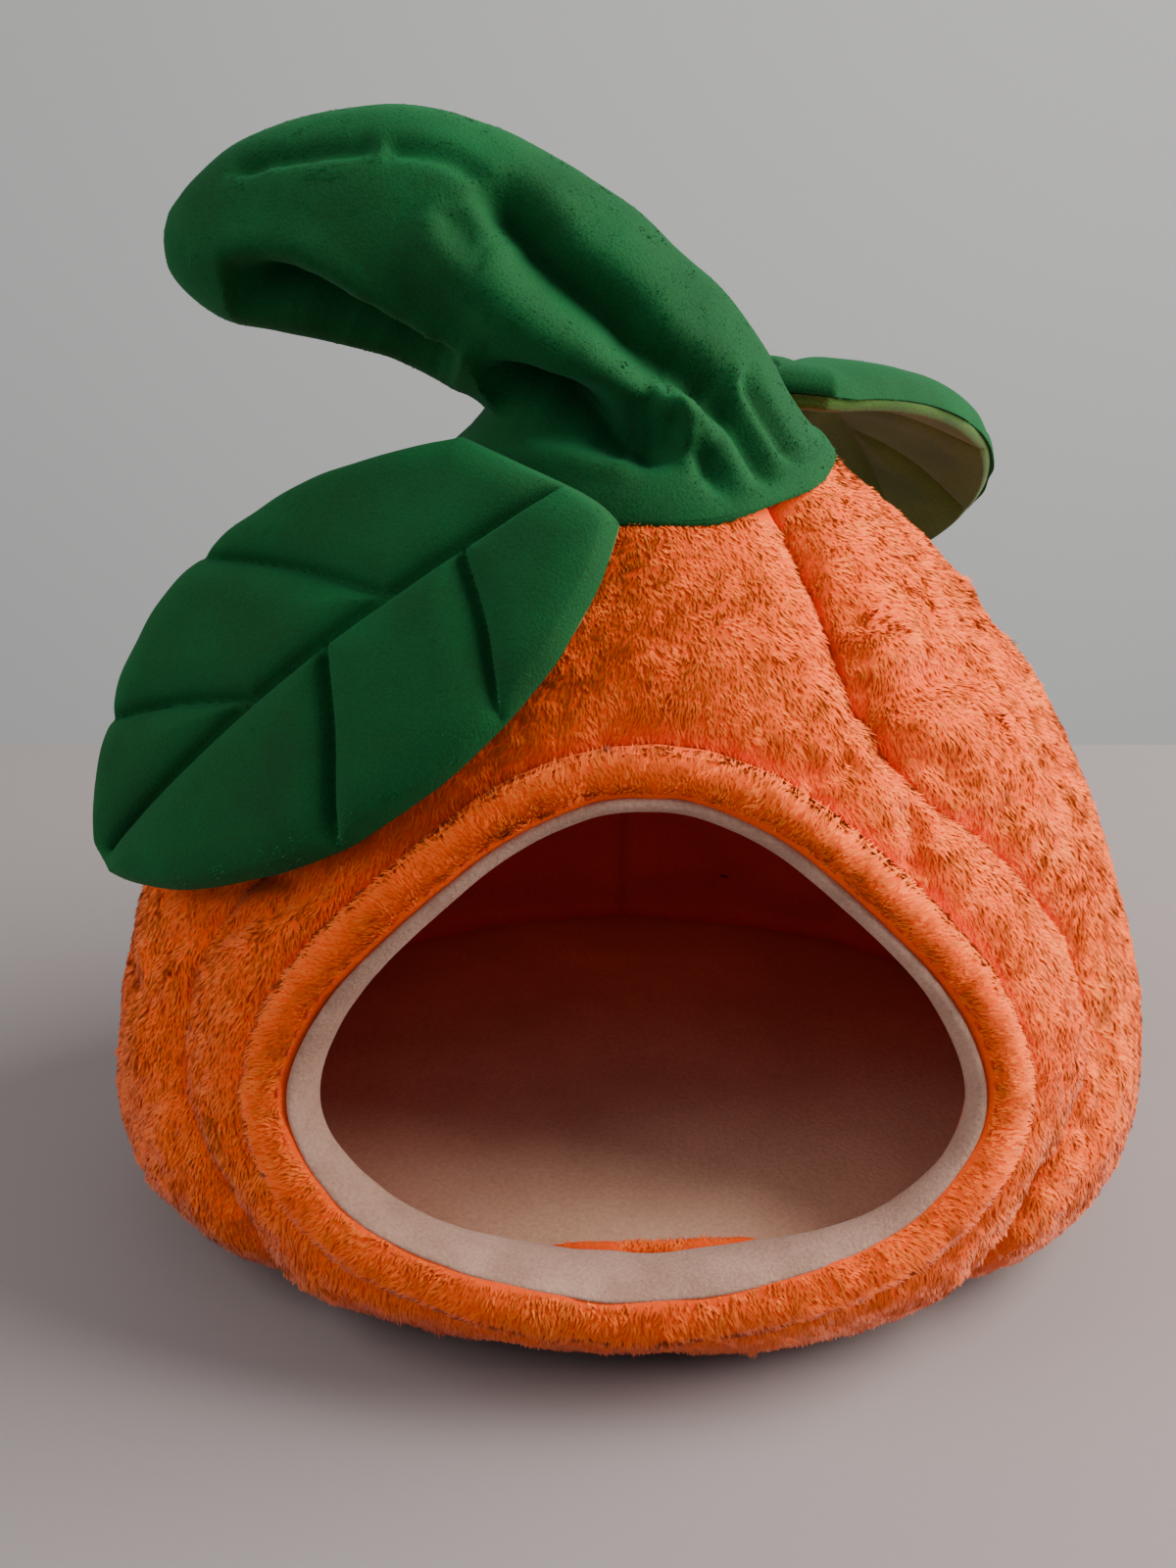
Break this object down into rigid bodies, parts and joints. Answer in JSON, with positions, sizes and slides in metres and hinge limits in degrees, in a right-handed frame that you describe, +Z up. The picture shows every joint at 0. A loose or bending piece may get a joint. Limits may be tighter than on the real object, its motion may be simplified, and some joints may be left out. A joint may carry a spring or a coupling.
{
  "type": "pet cave bed",
  "caption": "Soft plush cave bed for a small pet, made like an orange, with a padded mouth, a loose floor cushion, a floppy stem and quilted leaves.",
  "frame": {"origin": "on the underside of the base cloth, below the middle of the body, at the level of the surface it stands on", "axes": "+Z up, -Y out of the mouth, +X to the right as seen from in front of the mouth"},
  "size_m": [0.2578, 0.2517, 0.2657],
  "materials": {
    "orange_plush": "soft long-pile plush",
    "wadding": "soft polyester wadding",
    "cream_lining": "brushed short-pile lining",
    "cream_fleece": "fleece edge binding",
    "cushion_fleece": "fleece",
    "antislip_cloth": "woven cloth with printed grip dots",
    "base_foam": "foam",
    "green_plush": "short dense pile with a soft sheen",
    "olive_backing": "short pile, lighter olive"
  },
  "bodies": {
    "cave": {"front_gore_cover": "orange_plush", "right_gore_cover": "orange_plush", "left_gore_cover": "orange_plush", "back_right_gore_cover": "orange_plush", "back_left_gore_cover": "orange_plush", "front_gore_wadding": "wadding", "right_gore_wadding": "wadding", "left_gore_wadding": "wadding", "back_right_gore_wadding": "wadding", "back_left_gore_wadding": "wadding", "front_gore_lining": "cream_lining", "right_gore_lining": "cream_lining", "left_gore_lining": "cream_lining", "back_right_gore_lining": "cream_lining", "back_left_gore_lining": "cream_lining", "mouth_roll_cover": "orange_plush", "mouth_roll_filler": "wadding", "mouth_binding": "cream_fleece", "antislip_base": "antislip_cloth", "base_pad": "base_foam", "base_lining": "cream_lining", "collar_cover": "green_plush", "collar_filling": "wadding", "crown_lining": "cream_lining"},
    "cushion": {"cushion_top_cover": "cushion_fleece", "cushion_bottom_cover": "orange_plush", "cushion_filling": "wadding"},
    "stem": {"stem_cover": "green_plush", "stem_filling": "wadding"},
    "front_leaf": {"front_leaf_top_cover": "green_plush", "front_leaf_wadding": "wadding", "front_leaf_under_cover": "olive_backing"},
    "back_leaf": {"back_leaf_top_cover": "green_plush", "back_leaf_wadding": "wadding", "back_leaf_under_cover": "olive_backing"}
  },
  "joints": [
    {"name": "stem_lean", "type": "hinge", "parent": "cave", "child": "stem", "pos_m": [0.001, -0.005, 0.211], "axis": [0, 1, 0], "range_deg": [-5, 45]},
    {"name": "front_leaf_lift", "type": "hinge", "parent": "cave", "child": "front_leaf", "pos_m": [-0.0245, -0.0448, 0.1925], "axis": [-0.4811, 0.7462, 0.4601], "range_deg": [0, 30]},
    {"name": "back_leaf_lift", "type": "hinge", "parent": "cave", "child": "back_leaf", "pos_m": [0.0417, 0.0314, 0.195], "axis": [0.9564, -0.2921, 0], "range_deg": [0, 35]},
    {"name": "cushion_lift", "type": "slide", "parent": "cave", "child": "cushion", "axis": [0, 0, 1], "range_m": [0, 0.035]}
  ]
}
